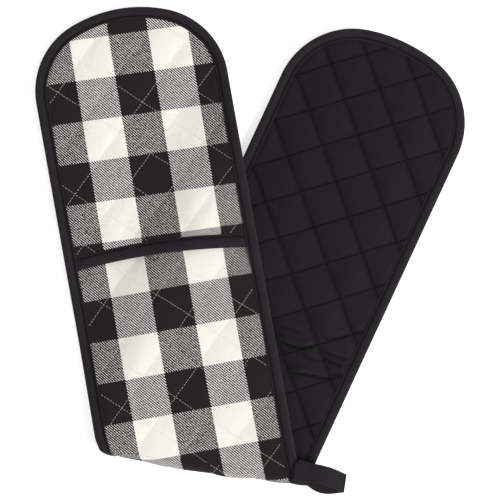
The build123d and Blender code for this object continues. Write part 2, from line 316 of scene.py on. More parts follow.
class Half:
    """One half of the strip: its plan, its lie and its quilting."""

    def __init__(self, name, side, length, crown, shoulder, quilting, pocket_quilting):
        self.name = name
        self.check_up = side > 0
        self.skew = side * FOLD_SKEW
        self.lean = FOLD_ANGLE + self.skew
        self.across = direction(self.lean)
        self.along = direction(self.lean + math.pi / 2)
        self.origin = FOLD_MIDDLE + (0 if side > 0 else 1) * FOLD_SIDESTEP * ALONG_FOLD
        self.length = length
        self.crown = crown
        self.shoulder = shoulder
        self.shoulder_x = HALF_WIDTH - shoulder
        self.crown_y = length - crown
        self.shoulder_y = self.crown_y + math.sqrt((crown - shoulder) ** 2 - self.shoulder_x**2)
        self.meeting = math.atan2(self.shoulder_y - self.crown_y, self.shoulder_x)
        self.shoulder_arc = shoulder * self.meeting
        self.crown_arc = crown * (math.pi - 2 * self.meeting)
        self.left_side = self.shoulder_y - self.fold_end(-HALF_WIDTH)
        self.right_side = self.shoulder_y - self.fold_end(HALF_WIDTH)
        self.edge_length = self.left_side + self.right_side + 2 * self.shoulder_arc + self.crown_arc
        self.quilting = quilting
        self.pocket_quilting = pocket_quilting

    # plan
    def fold_end(self, t):
        """How far along the half the fold's axis crosses it."""
        return (FOLD_BULGE - t * math.sin(self.skew)) / math.cos(self.skew)

    def arc(self, t, s):
        """The arc of the rounded end that a point is nearest to: its centre and radius."""
        x, y = np.abs(t) - self.shoulder_x, s - self.shoulder_y
        crowned = np.arctan2(y, x) > self.meeting
        centre_t = np.where(crowned, 0, np.sign(t) * self.shoulder_x)
        centre_s = np.where(crowned, self.crown_y, self.shoulder_y)
        return centre_t, centre_s, np.where(crowned, self.crown, self.shoulder)

    def edge_distance(self, t, s):
        """How far inside the strip's edge."""
        centre_t, centre_s, radius = self.arc(t, s)
        rounded = radius - np.hypot(t - centre_t, s - centre_s)
        return np.where(s > self.shoulder_y, rounded, HALF_WIDTH - np.abs(t))

    def onto_inset(self, t, s, inset):
        """The nearest point of the rounded end that is inset from the strip's edge."""
        centre_t, centre_s, radius = self.arc(t, s)
        reach = (radius - inset) / np.maximum(np.hypot(t - centre_t, s - centre_s), 1e-6)
        rounded = s > self.shoulder_y
        straight_t = np.sign(t) * (HALF_WIDTH - inset)
        new_t = np.where(rounded, centre_t + (t - centre_t) * reach, straight_t)
        return new_t, np.where(rounded, centre_s + (s - centre_s) * reach, s)

    def edge_point(self, run, inset):
        """A point by its run along the edge, from the left end of the fold round the tip."""
        on_right = run > self.left_side + self.shoulder_arc + self.crown_arc / 2
        hand = np.where(on_right, 1.0, -1.0)
        side = np.where(on_right, self.right_side, self.left_side)
        run = np.where(on_right, self.edge_length - run, run)
        straight = HALF_WIDTH - inset
        shoulder, crown = self.shoulder - inset, self.crown - inset
        shoulder_angle = (run - side) / self.shoulder
        crown_angle = self.meeting + (run - side - self.shoulder_arc) / self.crown
        spans = [run < side, run < side + self.shoulder_arc]
        across = [straight, self.shoulder_x + shoulder * np.cos(shoulder_angle)]
        along = [
            mix(self.fold_end(hand * straight), self.shoulder_y, run / side),
            self.shoulder_y + shoulder * np.sin(shoulder_angle),
        ]
        t = hand * np.select(spans, across, crown * np.cos(crown_angle))
        return t, np.select(spans, along, self.crown_y + crown * np.sin(crown_angle))

    # lie
    def plan(self, t, s):
        t, s = np.asarray(t, float), np.asarray(s, float)
        return self.origin + t[..., None] * self.across + s[..., None] * self.along

    def belly(self, t, s):
        """0 at the binding, 1 towards the middle of the width."""
        return ease(self.edge_distance(t, s), *BELLY_RAMP)

    def gap(self, t, s):
        """Room for the hand between the panel and the pocket."""
        return HAND_GAP * self.belly(t, s) * (1 - HAND_GAP_LOST * ease(s, MOUTH, self.length))

    def base(self, t, s):
        """Height of the underside of the panel."""
        if self.check_up:
            lower = halves["lower"]
            offset = self.plan(t, s) - lower.origin
            beyond = -(offset @ lower.across) - HALF_WIDTH
            return mix(LEVEL_ON_STACK, LEVEL_ON_TABLE, ease(beyond, *UPPER_RAMP))
        middle = mix(LEVEL_ON_TABLE, LEVEL_OVER_POCKET, ease(s, *LOWER_RAMP))
        border = mix(LEVEL_ON_TABLE, BORDER_OVER_POCKET, ease(s, *BORDER_RAMP))
        return mix(border, middle, self.belly(t, s))

    def place(self, t, s, u):
        points = self.plan(t, s)
        if self.check_up:
            pull = corner_shift(t) * (1 - ease(s, *CORNER_RAMP)) ** 2
            points = points + np.asarray(pull)[..., None] * self.across
        points[..., 2] = self.base(t, s) + (u if self.check_up else PANEL - u)
        return points

    # thickness
    def edge_fade(self, t, s):
        return ease(self.edge_distance(t, s), *PUFF_RAMP)

    def panel_half_thickness(self, t, s, rise):
        puff = self.quilting.puff(t, s) * self.edge_fade(t, s)
        puff = puff * (1 + UNEVEN_PUFFS * ripples(t, s, UNEVEN_SIZE, 11))
        return STITCHED_THICKNESS / 2 + rise * puff

    def panel_middle(self, t, s):
        if self.check_up:
            return PANEL / 2
        return PANEL / 2 - crumpling(t, s)[0] * self.edge_fade(t, s)

    def check_level(self, t, s):
        level = self.panel_middle(t, s) + self.panel_half_thickness(t, s, CHECK_RISE)
        if self.check_up:
            return level
        return np.minimum(level, PANEL + self.base(t, s) - ABOVE_TABLE)

    def black_level(self, t, s):
        return self.panel_middle(t, s) - self.panel_half_thickness(t, s, BLACK_RISE[self.name])

    def lining_level(self, t, s):
        return PANEL + LINING_CLEARANCE + self.gap(t, s)

    def pocket_level(self, t, s):
        puff = self.pocket_quilting.puff(t, s) * self.edge_fade(t, s)
        puff = puff * ease(s - mouth_line(t), *POCKET_PUFF_RAMP)
        puff = puff * (1 + UNEVEN_POCKET_PUFFS * ripples(t, s, UNEVEN_SIZE, 12))
        return self.lining_level(t, s) + mix(POCKET_STITCHED, POCKET_PUFFED, puff)


def mouth_line(t):
    """Where the free edge of a pocket's mouth runs."""
    return MOUTH - MOUTH_SLANT * t - MOUTH_ARCH * t**2


# ---- creases ----
CREASES = (  # on the black side, gathered by the fold: start, end, sag between them, depth
    ((12, 144), (43, 152), -4, 3.2),
    ((4, 153), (27, 157), 2, 1.5),
    ((34, 142), (56, 143), -3, 1.6),
    ((35, 121), (70, 129), 1, 3.0),
    ((52, 146), (76, 145), 0, 2.8),
    ((52, 151), (78, 154), -1, 2.2),
    ((67, 134), (78, 138), 0, 1.8),
    ((44, 163), (68, 175), -3, 1.6),
    ((70, 179), (79, 182), 0, 1.8),
)
CREASE_FADE = (0.65, 1.15)  # towards an end, in half lengths of the crease
VALLEY_WIDTH = 1.8
RIDGE_OFFSET = 4.8
RIDGE_WIDTH = 2.8
RIDGE_SHARE = 0.8  # of the valley's depth
# the most painted shade in a crease's valley
MOST_CREASE_SHADE = 1.2


def crease_place(t, s, start, end, sag):
    """Where a point is along a crease, from -1 to 1, and how far to its side."""
    run, rise = end[0] - start[0], end[1] - start[1]
    reach = math.hypot(run, rise) / 2
    x, y = t - (start[0] + end[0]) / 2, s - (start[1] + end[1]) / 2
    along = (x * run + y * rise) / (2 * reach**2)
    aside = (y * run - x * rise) / (2 * reach) - sag * (1 - along**2)
    return along, aside


def crumpling(t, s):
    """Soft creases where the lower half is gathered by the fold: the rise, and the painted shade in
    their valleys.
    """
    rise, crease_shade = np.zeros_like(t, dtype=float), np.zeros_like(t, dtype=float)
    for start, end, sag, depth in CREASES:
        along, aside = crease_place(t, s, start, end, sag)
        reach = depth * (1 - ease(np.abs(along), *CREASE_FADE))
        valley = np.exp(-((aside / VALLEY_WIDTH) ** 2))
        ridge = np.exp(-(((aside - RIDGE_OFFSET) / RIDGE_WIDTH) ** 2))
        rise += reach * (RIDGE_SHARE * ridge - valley)
        crease_shade = np.maximum(crease_shade, np.minimum(reach * valley / 2, MOST_CREASE_SHADE))
    return rise, crease_shade


# ---- levels and halves ----
LEVEL_ON_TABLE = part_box("lower_check_face")[0].z / MM
LEVEL_ON_STACK = FOLD_HEIGHT + FOLD_RADIUS
LEVEL_OVER_POCKET = 9.2
BORDER_OVER_POCKET = 4.7

# each family of lines is (slope, crossing of the centre line, spacing along it)
panel_quilting = Quilting("panel_quilting", (0.98, 36.0, 48.9), (-0.925, 17.0, 48.4), 0)
lower_quilting = Quilting("lower_quilting", (0.88, 350.0, 47.2), (-1.0, 346.0, 48.3), 1)
pocket_quilting = Quilting("pocket_quilting", (0.96, 297.0, 48.0), (-0.93, 310.5, 48.5), 0)
halves = {
    "lower": Half("lower", -1, 446.0, 150.0, 74.0, lower_quilting, pocket_quilting),
    "upper": Half("upper", 1, 442.0, 126.0, 71.0, panel_quilting, pocket_quilting),
}


# ---- meshes ----
def make_object(name, points, faces):
    mesh = bpy.data.meshes.new(name)
    faces = [list(map(int, face)) for face in faces]
    mesh.from_pydata((np.asarray(points) * MM).tolist(), [], faces)
    mesh.update()
    piece = bpy.data.objects.new(name, mesh)
    bpy.context.scene.collection.objects.link(piece)
    return piece


def make_piece(name, points, faces, material, cloth=None, stands_for=(), seam=None):
    """A smooth-shaded piece.  cloth holds each point's place in the weave, for the material, and
    seam how near it is to a line of stitches.  A piece that stands for CAD nodes hides them."""
    piece = make_object(name, points, faces)
    mesh = piece.data
    mesh.polygons.foreach_set("use_smooth", np.ones(len(mesh.polygons), bool))
    if cloth is not None:
        corner_points = np.zeros(len(mesh.loops), np.int32)
        mesh.loops.foreach_get("vertex_index", corner_points)
        layer = mesh.uv_layers.new(name="cloth")
        layer.data.foreach_set("uv", np.asarray(cloth, np.float32)[corner_points].ravel())
    nearness = mesh.attributes.new("seam", "FLOAT", "POINT")
    if seam is not None:
        nearness.data.foreach_set("value", np.asarray(seam, np.float32).ravel())
    mesh.materials.append(material)
    if stands_for:
        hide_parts(*stands_for)
    return piece


def grid_faces(rows, columns):
    """Quads of a grid whose points are numbered row by row."""
    row, column = np.meshgrid(np.arange(rows - 1), np.arange(columns - 1), indexing="ij")
    first = (row * columns + column).ravel()
    return np.stack([first, first + 1, first + columns + 1, first + columns], axis=1)


def tube_faces(rings, around):
    """Quads of a closed section swept through rings, with its two ends capped."""
    ring, step = np.meshgrid(np.arange(rings - 1), np.arange(around), indexing="ij")
    here = (ring * around + step).ravel()
    beside = (ring * around + (step + 1) % around).ravel()
    faces = np.stack([here, here + around, beside + around, beside], axis=1).tolist()
    first_cap = list(range(around))
    return faces + [first_cap, [(rings - 1) * around + step for step in first_cap[::-1]]]


def closed_sheet(outer, inner, quads):
    """Points and faces of a sheet with two sides and a rim."""
    count = len(outer)
    edges = np.concatenate([quads[:, [k, (k + 1) % 4]] for k in range(4)])
    keys = np.sort(edges, axis=1)
    _, index, uses = np.unique(keys, axis=0, return_index=True, return_counts=True)
    rim = edges[index[uses == 1]]
    rim_faces = np.stack([rim[:, 1], rim[:, 0], rim[:, 0] + count, rim[:, 1] + count], axis=1)
    faces = np.concatenate([quads, quads[:, ::-1] + count, rim_faces])
    return np.concatenate([outer, inner]), faces


def without_spare_points(points, faces):
    """Leaves out the points that no face uses."""
    used, renumbered = np.unique(faces, return_inverse=True)
    return points[used], renumbered.reshape(faces.shape), used


# ---- materials ----
def srgb(red, green, blue):
    """Linear colour of an 8-bit sRGB colour."""
    def linear(value):
        value /= 255
        return value / 12.92 if value <= 0.04045 else ((value + 0.055) / 1.055) ** 2.4
    return (linear(red), linear(green), linear(blue), 1.0)


class Nodes:
    """A short way to write a material's node tree."""

    def __init__(self, name, roughness):
        self.material = bpy.data.materials.new(name)
        self.material.use_nodes = True
        self.tree = self.material.node_tree
        self.shader = self.tree.nodes["Principled BSDF"]
        self.shader.inputs["Roughness"].default_value = roughness
        self.shader.inputs["Specular IOR Level"].default_value = 0.1

    def add(self, kind, **settings):
        node = self.tree.nodes.new(kind)
        for key, value in settings.items():
            setattr(node, key, value)
        return node

    def feed(self, socket, value):
        if isinstance(value, bpy.types.NodeSocket):
            self.tree.links.new(value, socket)
        else:
            socket.default_value = value

    def math(self, operation, a, b=0.0):
        node = self.add("ShaderNodeMath", operation=operation)
        self.feed(node.inputs[0], a)
        self.feed(node.inputs[1], b)
        return node.outputs[0]

    def cloth_place(self):
        place = self.add("ShaderNodeUVMap", uv_map="cloth").outputs[0]
        split = self.add("ShaderNodeSeparateXYZ")
        self.feed(split.inputs[0], place)
        return place, split.outputs[0], split.outputs[1]

    def noise(self, vector, scale, detail=3.0):
        node = self.add("ShaderNodeTexNoise")
        self.feed(node.inputs["Vector"], vector)
        node.inputs["Scale"].default_value = scale
        node.inputs["Detail"].default_value = detail
        return node.outputs["Fac"]

    def white_noise(self, value):
        node = self.add("ShaderNodeTexWhiteNoise", noise_dimensions="1D")
        self.feed(node.inputs["W"], value)
        return node.outputs["Value"]

    def plus(self, a, b):
        return self.math("ADD", a, b)

    def minus(self, a, b):
        return self.math("SUBTRACT", a, b)

    def times(self, a, b):
        return self.math("MULTIPLY", a, b)

    def ramp(self, value, low, high):
        """Takes 0..1 to low..high."""
        return self.plus(self.times(value, high - low), low)

    def yarn_height(self, warp_place, weft_place, warp_on_top):
        """Round yarns: 0 between two of them and 1/2 along the middle of the one on top."""
        across_warp = self.math("PINGPONG", warp_place, 0.5)
        across_weft = self.math("PINGPONG", weft_place, 0.5)
        on_weft = self.times(self.minus(1.0, warp_on_top), across_weft)
        return self.plus(self.times(warp_on_top, across_warp), on_weft)

    def mix_colour(self, share, a, b):
        node = self.add("ShaderNodeMix", data_type="RGBA")
        self.feed(node.inputs["Factor"], share)
        self.feed(node.inputs["A"], a)
        self.feed(node.inputs["B"], b)
        return node.outputs["Result"]

    def scale_colour(self, colour, factor):
        node = self.add("ShaderNodeVectorMath", operation="SCALE")
        self.feed(node.inputs[0], colour)
        self.feed(node.inputs["Scale"], factor)
        return node.outputs[0]

    def paint_seam_shade(self, colour, loss):
        """Painted shade: the colour darkens where the cloth is pressed into a line of stitches or a
        crease.
        """
        seam = self.add("ShaderNodeAttribute", attribute_name="seam").outputs["Fac"]
        self.paint(self.scale_colour(colour, self.ramp(seam, 1.0, 1 - loss)))

    def paint(self, colour):
        self.feed(self.shader.inputs["Base Color"], colour)

    def bump(self, height, depth_mm):
        node = self.add("ShaderNodeBump")
        node.inputs["Distance"].default_value = depth_mm * MM
        self.feed(node.inputs["Height"], height)
        self.feed(self.shader.inputs["Normal"], node.outputs[0])


LIGHT_YARN = (233, 232, 222)
LIGHT_YARN_AMONG_BLACK = (245, 243, 240)
DARK_YARN = (35, 28, 30)
LEAST_LIGHT = 0.012  # of a light yarn that is hidden under dark ones


def check_twill():
    """Yarn-dyed twill: one check of the cloth is one unit of its weave coordinates."""
    n = Nodes("check_twill", 0.9)
    _, u, v = n.cloth_place()
    warp_place = n.times(u, WARPS_PER_CHECK)
    weft_place = n.times(v, WEFTS_PER_CHECK)
    warp = n.math("FLOOR", warp_place)
    weft = n.math("FLOOR", weft_place)
    diagonal = n.math("FLOORED_MODULO", n.plus(warp, weft), 4.0)
    warp_on_top = n.math("LESS_THAN", diagonal, 1.5)
    warp_is_white = n.math("LESS_THAN", n.math("FLOORED_MODULO", u, 2.0), 1.0)
    weft_is_white = n.math("LESS_THAN", n.math("FLOORED_MODULO", v, 2.0), 1.0)
    from_weft = n.times(weft_is_white, n.minus(1.0, warp_on_top))
    white = n.plus(n.times(warp_is_white, warp_on_top), from_weft)
    combine = n.add("ShaderNodeCombineXYZ")
    n.feed(combine.inputs[0], warp_place)
    n.feed(combine.inputs[1], weft_place)
    place = combine.outputs[0]
    # where the two colours cross, the fuller warp leaves only a narrow line of the weft
    diagonal_place = n.math("FLOORED_MODULO", n.plus(warp_place, weft_place), 4.0)
    from_warp_line = n.math("ABSOLUTE", n.minus(diagonal_place, 2.0))
    to_warp = n.times(warp_is_white, from_warp_line)
    to_weft = n.times(n.minus(1.0, warp_is_white), n.minus(2.0, from_warp_line))
    slubs = n.noise(place, 0.45, 2.0)
    half_line = n.ramp(warp_is_white, WEFT_HALF_LINE, WARP_HALF_LINE)
    half_line = n.plus(half_line, n.ramp(slubs, -UNEVEN_LINE, UNEVEN_LINE))
    in_line = n.math("LESS_THAN", n.plus(to_warp, to_weft), half_line)
    same = n.math("COMPARE", warp_is_white, weft_is_white)
    # round yarns, with painted shade between them and lighter crowns, each a little different in
    # tone, and fibres
    height = n.yarn_height(warp_place, weft_place, warp_on_top)
    yarn = n.plus(n.white_noise(warp), n.white_noise(n.plus(weft, 977.0)))
    fibres = n.noise(place, 0.9, 4.0)
    patches = n.noise(place, 0.05, 2.0)
    yarn_shade_and_tone = n.times(n.ramp(height, 0.97, 1.06), n.ramp(yarn, 0.975, 1.0))
    yarn_shade_and_tone = n.times(yarn_shade_and_tone, n.ramp(patches, 0.985, 1.015))
    light = n.times(n.times(yarn_shade_and_tone, n.ramp(fibres, 0.97, 1.03)), n.math("MAXIMUM", same, in_line))
    light_yarn = n.mix_colour(same, srgb(*LIGHT_YARN_AMONG_BLACK), srgb(*LIGHT_YARN))
    light = n.scale_colour(light_yarn, n.plus(light, LEAST_LIGHT))
    dark = n.scale_colour(srgb(*DARK_YARN)[:3], n.times(yarn_shade_and_tone, n.ramp(fibres, 0.55, 1.5)))
    # slight painted shade along the lines of stitches and in creases
    n.paint_seam_shade(n.mix_colour(white, dark, light), 0.02)
    n.shader.inputs["Sheen Weight"].default_value = 0.05
    ribs = n.plus(n.times(height, 1.2), n.times(fibres, 0.5))
    n.bump(n.plus(ribs, n.times(warp_on_top, 0.5)), 0.05)
    return n.material


def plain_weave(name, colour, yarn_mm, roughness, depth_mm, unevenness, repeat=2.0):
    """A plain cloth, or with a repeat of 3 a fine twill.  Its weave coordinates are millimetres."""
    n = Nodes(name, roughness)
    place, u, v = n.cloth_place()
    warp_place = n.math("DIVIDE", u, yarn_mm)
    weft_place = n.math("DIVIDE", v, yarn_mm)
    over = n.plus(n.math("FLOOR", warp_place), n.math("FLOOR", weft_place))
    warp_on_top = n.math("LESS_THAN", n.math("FLOORED_MODULO", over, repeat), repeat - 1.5)
    height = n.yarn_height(warp_place, weft_place, warp_on_top)
    fibres = n.noise(place, 1.6, 4.0)
    patches = n.noise(place, 0.045, 3.0)
    # painted shade between the round yarns and lighter crowns, times an uneven tone of fibres and
    # patches
    yarn_shade_and_tone = n.times(n.ramp(height, 0.8, 1.3), n.ramp(fibres, 1 - unevenness, 1 + unevenness))
    yarn_shade_and_tone = n.times(yarn_shade_and_tone, n.ramp(patches, 0.85, 1.15))
    # painted shade along the lines of stitches, in creases and in the binding's grooves
    n.paint_seam_shade(n.scale_colour(srgb(*colour)[:3], yarn_shade_and_tone), 0.5)
    n.shader.inputs["Sheen Weight"].default_value = 0.08
    n.shader.inputs["Sheen Roughness"].default_value = 0.5
    n.bump(n.plus(height, n.times(fibres, 0.6)), depth_mm)
    return n.material


def thread(name, colour):
    """Twisted sewing thread; its weave coordinates are millimetres along and round it."""
    n = Nodes(name, 0.6)
    _, u, v = n.cloth_place()
    twist = n.math("PINGPONG", n.plus(n.times(u, 2.2), v), 0.5)
    # painted shade in the grooves of the twist, with lighter crowns between them
    n.paint(n.scale_colour(srgb(*colour)[:3], n.ramp(twist, 0.75, 1.25)))
    n.bump(twist, 0.05)
    return n.material


def felted(name, colour):
    n = Nodes(name, 0.95)
    place, _, _ = n.cloth_place()
    fibres = n.noise(place, 0.8, 6.0)
    n.paint(n.scale_colour(srgb(*colour)[:3], n.ramp(fibres, 0.8, 1.15)))
    n.bump(fibres, 0.4)
    return n.material


def pale_floor():
    """A lit table: it glows a little, so that shadows stay faint."""
    n = Nodes("pale_floor", 0.9)
    n.shader.inputs["Emission Color"].default_value = (1, 1, 1, 1)
    n.shader.inputs["Emission Strength"].default_value = 0.6
    place = n.add("ShaderNodeTexCoord").outputs["Object"]
    n.paint(n.scale_colour((0.93, 0.93, 0.93), n.ramp(n.noise(place, 6.0), 0.995, 1.005)))
    return n.material


CHECK = check_twill()
BLACK = plain_weave("black_cotton", (30, 26, 30), 0.34, 0.85, 0.05, 0.45)
TAPE = plain_weave("black_binding", (38, 33, 38), 0.3, 0.8, 0.05, 0.2, repeat=3.0)
# the loop's own black, made a little darker than the binding's as painted shade against the key
# light that it faces
LOOP_TAPE = plain_weave("black_tape", (33, 28, 33), 0.45, 0.8, 0.08, 0.25, repeat=3.0)
WADDING = felted("wadding", (222, 218, 206))
PALE_THREAD = thread("pale_thread", (224, 221, 213))
BLACK_THREAD = thread("black_thread", (13, 11, 13))


# ---- cloths of the two halves ----
def panel_weave(half, t, s):
    """Place in the check cloth of the strip, in checks.  It runs on through the fold."""
    if not half.check_up:
        s = 2 * FOLD_BULGE / math.cos(FOLD_SKEW) - math.pi * (FOLD_RADIUS + PANEL) - s
    left, along = PANEL_CHECK_AT
    drawn_aside = PANEL_DRAWN_ASIDE * np.minimum(s - PANEL_STRAIGHT_FROM, 0)
    return paired((t + left + drawn_aside) / SQUARE + 1, (s - along) / PANEL_SQUARE)


def pocket_weave(t, s):
    """Place in the check cloth of a pocket, which lies slightly turned on the strip."""
    left, along = POCKET_CHECK_AT
    drawn_aside = POCKET_DRAWN_ASIDE * (s - POCKET_TRUE_AT)
    turned = POCKET_TURNED * t
    return paired((t + left - drawn_aside) / SQUARE + 1, (s - along + turned) / POCKET_SQUARE)


def half_grid(half, start):
    """Points (t, s) from start(t) to the rounded end, and the quads that lie inside it."""
    reach = HALF_WIDTH - TUCKED_UNDER
    end = half.length - TUCKED_UNDER
    columns = int(2 * reach / MESH_STEP) + 1
    across = np.linspace(-reach, reach, columns)
    begin = start(across)
    rows = int((end - begin.min()) / MESH_STEP) + 1
    t = np.broadcast_to(across, (rows, columns)).ravel()
    s = mix(begin, end, np.linspace(0, 1, rows)[:, None]).ravel()
    quads = grid_faces(rows, columns)
    kept = half.edge_distance(t[quads].mean(1), s[quads].mean(1)) > TUCKED_UNDER
    dropped_points = np.unique(quads[~kept])
    quads = quads[kept]
    rim = np.intersect1d(dropped_points, np.unique(quads))
    t[rim], s[rim] = half.onto_inset(t[rim], s[rim], TUCKED_UNDER)
    return t, s, quads


def layer(half, part, grid, outer, inner, faces_up, material, node, cloth, seam=None):
    """A closed sheet between two levels of a half; faces_up says which way its outer side faces."""
    t, s, quads = grid
    if not faces_up:
        quads = quads[:, ::-1]
    points, faces = closed_sheet(half.place(t, s, outer), half.place(t, s, inner), quads)
    points, faces, used = without_spare_points(points, faces)
    cloth = np.concatenate([cloth] * 2)[used]
    if seam is not None:
        seam = np.concatenate([seam] * 2)[used]
    name = f"{half.name}_{part}"
    return make_piece(name, points, faces, material, cloth, [f"{half.name}_{node}"], seam)


def quilted_cloth(half, part, grid, outer, material, node, cloth, quilting):
    """A thin cloth with painted shade in its seams and creases.  The check cloths face the check
    side.
    """
    t, s, _ = grid
    on_check_side = material is CHECK
    inner = outer - CLOTH if on_check_side else outer + CLOTH
    seam = quilting.seam(t, s)
    if not half.check_up:
        seam = np.maximum(seam, crumpling(t, s)[1])
    faces_up = on_check_side == half.check_up
    return layer(half, part, grid, outer, inner, faces_up, material, node, cloth, seam)


def lay_panel(half):
    """The check cloth, the black cloth and the wadding of a half."""
    grid = half_grid(half, half.fold_end)
    t, s, _ = grid
    check, black = half.check_level(t, s), half.black_level(t, s)
    inset = CLOTH + BESIDE_CLOTH
    return (
        quilted_cloth(
            half, "check_cloth", grid, check, CHECK, "check_face", panel_weave(half, t, s),
            half.quilting,
        ),
        quilted_cloth(
            half, "black_cloth", grid, black, BLACK, "black_backing", paired(t, s), half.quilting,
        ),
        layer(
            half, "padding", grid, check - inset, black + inset, half.check_up, WADDING, "wadding",
            paired(t, s),
        ),
    )


def lay_pocket(half):
    """The check cloth, the lining and the wadding of a pocket."""
    grid = half_grid(half, lambda t: mouth_line(t) + CLOTHS_IN_MOUTH)
    t, s, _ = grid
    check, lining = half.pocket_level(t, s), half.lining_level(t, s)
    return (
        quilted_cloth(
            half, "pocket_check_cloth", grid, check, CHECK, "pocket_check_panel",
            pocket_weave(t, s), half.pocket_quilting,
        ),
        quilted_cloth(
            half, "pocket_lining_cloth", grid, lining, BLACK, "pocket_lining", paired(t, s),
            half.pocket_quilting,
        ),
        layer(
            half, "pocket_padding", grid, check - CLOTH + POCKET_BITE, lining + CLOTH,
            half.check_up, WADDING, "pocket_wadding", paired(t, s),
        ),
    )


# ---- bindings ----
# Half of a folded tape's outline, from its inner edge to its nose: the share of the way in from the
# strip's edge, how far it stands proud, and how much painted shade falls on it by the topstitching
# or its edge.
TAPE_OUTLINE = np.array([
    (1.00, 0.10, 0.8),
    (0.985, 0.45, 0.2),
    (0.95, 0.62, 0.0),
    (0.91, 0.45, 0.5),
    (0.86, 0.08, 1.0),
    (0.80, 0.00, 1.0),
    (0.74, 0.16, 0.9),
    (0.67, 0.42, 0.4),
    (0.56, 0.78, 0.0),
    (0.42, 1.00, 0.0),
    (0.28, 1.00, 0.0),
    (0.15, 0.70, 0.0),
    (0.06, 0.15, 0.0),
    (0.015, -0.45, 0.0),
])
TAPE_THICKNESS = 0.6
GIRTH_STEP = 0.3  # least length of cloth between two points of the outline
MOUTH_BINDING = 13.0
MOUTH_TAPE_DIP = 1.2
MOUTH_TAPE_STEPS = 90
MOUTH_TAPE_SHORT = 2.0  # it ends this far inside the cloths
TAPE_STEP = 2.0
TAPE_WAVER = 0.25


def tape_section(width):
    """A tape folded over an edge, outside then inside: (distance in, side, proud, painted shade).
    """
    share, proud, seam = TAPE_OUTLINE.T
    top = np.stack([share * width, np.ones_like(share), proud, seam], axis=1)
    nose = np.zeros((1, 4))
    outside = np.concatenate([top, nose, top[::-1] * (1, -1, 1, 1)])
    inside = outside[::-1].copy()
    inside[:, 0] = np.minimum(inside[:, 0] + TAPE_THICKNESS, width * 0.99)
    inside[:, 2] -= TAPE_THICKNESS
    return np.concatenate([outside, inside])


EDGE_SECTION = tape_section(BINDING)
MOUTH_SECTION = tape_section(MOUTH_BINDING)


def wrap_tape(name, section, run, low, high, place, facing, *nodes):
    """Sweeps a folded tape along run; place(inwards, u) puts its points in space."""
    middle, half_height = (low + high) / 2, (high - low) / 2
    inwards = np.broadcast_to(section[:, 0], (len(run), len(section)))
    u = middle[:, None] + section[:, 1] * (half_height[:, None] + section[:, 2])
    points = place(inwards, u)
    girth = np.cumsum(np.hypot(np.diff(section[:, 0]), GIRTH_STEP))
    cloth = paired(*np.broadcast_arrays(run[:, None], np.concatenate([[0], girth])))
    seam = np.broadcast_to(section[:, 3], inwards.shape)
    faces = tube_faces(len(run), len(section))
    if not facing:
        faces = [face[::-1] for face in faces]
    return make_piece(name, points.reshape(-1, 3), faces, TAPE, cloth.reshape(-1, 2), nodes, seam)


def tape_levels(half, t, s):
    """The two faces that the edge binding holds together."""
    with_pocket = PANEL + POCKET_STITCHED + POCKET_SEAM
    high = mix(half.check_level(t, s), with_pocket, ease(s, *POCKET_SEAM_RAMP))
    return half.black_level(t, s), high


def edge_tape(half):
    """The binding all round the open edge of a half."""
    run = np.linspace(0, half.edge_length, int(half.edge_length / TAPE_STEP))
    low, high = tape_levels(half, *half.edge_point(run, BINDING))
    waver = TAPE_WAVER * ripples(run, run * 0, 60, 21)[:, None]

    def place(inwards, u):
        inset = inwards + waver * (inwards > 0.9 * BINDING)  # only its inner edge wavers
        t, s = half.edge_point(np.broadcast_to(run[:, None], inwards.shape), inset)
        return half.place(t, s, u)

    return wrap_tape(
        f"{half.name}_edge_tape", EDGE_SECTION, run, low, high, place, half.check_up,
        f"{half.name}_edge_binding", f"{half.name}_pocket_side_seam",
    )


def mouth_tape(half):
    """The binding along the free edge of a pocket."""
    reach = HALF_WIDTH - TUCKED_UNDER - MOUTH_TAPE_SHORT
    across = np.linspace(-reach, reach, MOUTH_TAPE_STEPS)
    edge = mouth_line(across)
    low = half.lining_level(across, edge + MOUTH_BINDING)
    dip = MOUTH_TAPE_DIP * ease(np.abs(across), *MOUTH_DIP_RAMP)
    high = half.pocket_level(across, edge + MOUTH_BINDING) - dip

    def place(inwards, u):
        return half.place(np.broadcast_to(across[:, None], u.shape), edge[:, None] + inwards, u)

    return wrap_tape(
        f"{half.name}_mouth_tape", MOUTH_SECTION, across, low, high, place, not half.check_up,
        f"{half.name}_pocket_mouth_binding",
    )


# ---- the fold ----
FOLD_STEPS = 30
LEFT_PULL = (7.8, 30.0, 122.0)  # how much less it bulges: the pull, where it starts, and its reach
RIGHT_PULL = (1.8, 40.0, 57.0)
BINDING_PUSH = 1.9  # the stiffer binding holds out against the left pull
BINDING_PUSH_RAMP = (78.0, 82.0)  # left of the centre line
FOLD_WAVE = 0.7
FOLD_WAVE_LENGTH = 58.0
FOLD_WAVE_TOP = 27.0
FOLD_WAVE_FADE = (55.0, 75.0)  # from the fold's middle
FOLD_FULLNESS = 0.9
CORNER_PULL = 2.0
CORNER_PULL_RAMP = (68.0, 88.0)  # left of the centre line
CORNER_PULL_IN_FOLD = 0.9


def fold_tightness(t, along):
    """The fold bulges less where it is pulled in: at its left end, and a little at its right."""
    (left, left_start, left_reach), (right, right_start, right_reach) = LEFT_PULL, RIGHT_PULL
    pulled = left * np.clip((left_start - along) / left_reach, 0, 2) ** 2
    pulled += right * np.clip((along - right_start) / right_reach, 0, 2) ** 2
    pulled -= BINDING_PUSH * ease(-t, *BINDING_PUSH_RAMP)
    waves = FOLD_WAVE * np.cos((along - FOLD_WAVE_TOP) * math.tau / FOLD_WAVE_LENGTH)
    waves *= 1 - ease(np.abs(along), *FOLD_WAVE_FADE)
    return 1 - (pulled - waves - FOLD_FULLNESS) / FOLD_BULGE


def corner_shift(t):
    """How far the left corner of the fold is pulled inwards."""
    return CORNER_PULL * ease(-t, *CORNER_PULL_RAMP)


def from_fold(along, across, height):
    """A point by its place along the fold, in from it, and above the table."""
    flat = FOLD_MIDDLE + along[..., None] * ALONG_FOLD + across[..., None] * ACROSS_FOLD
    return flat + height[..., None] * UP


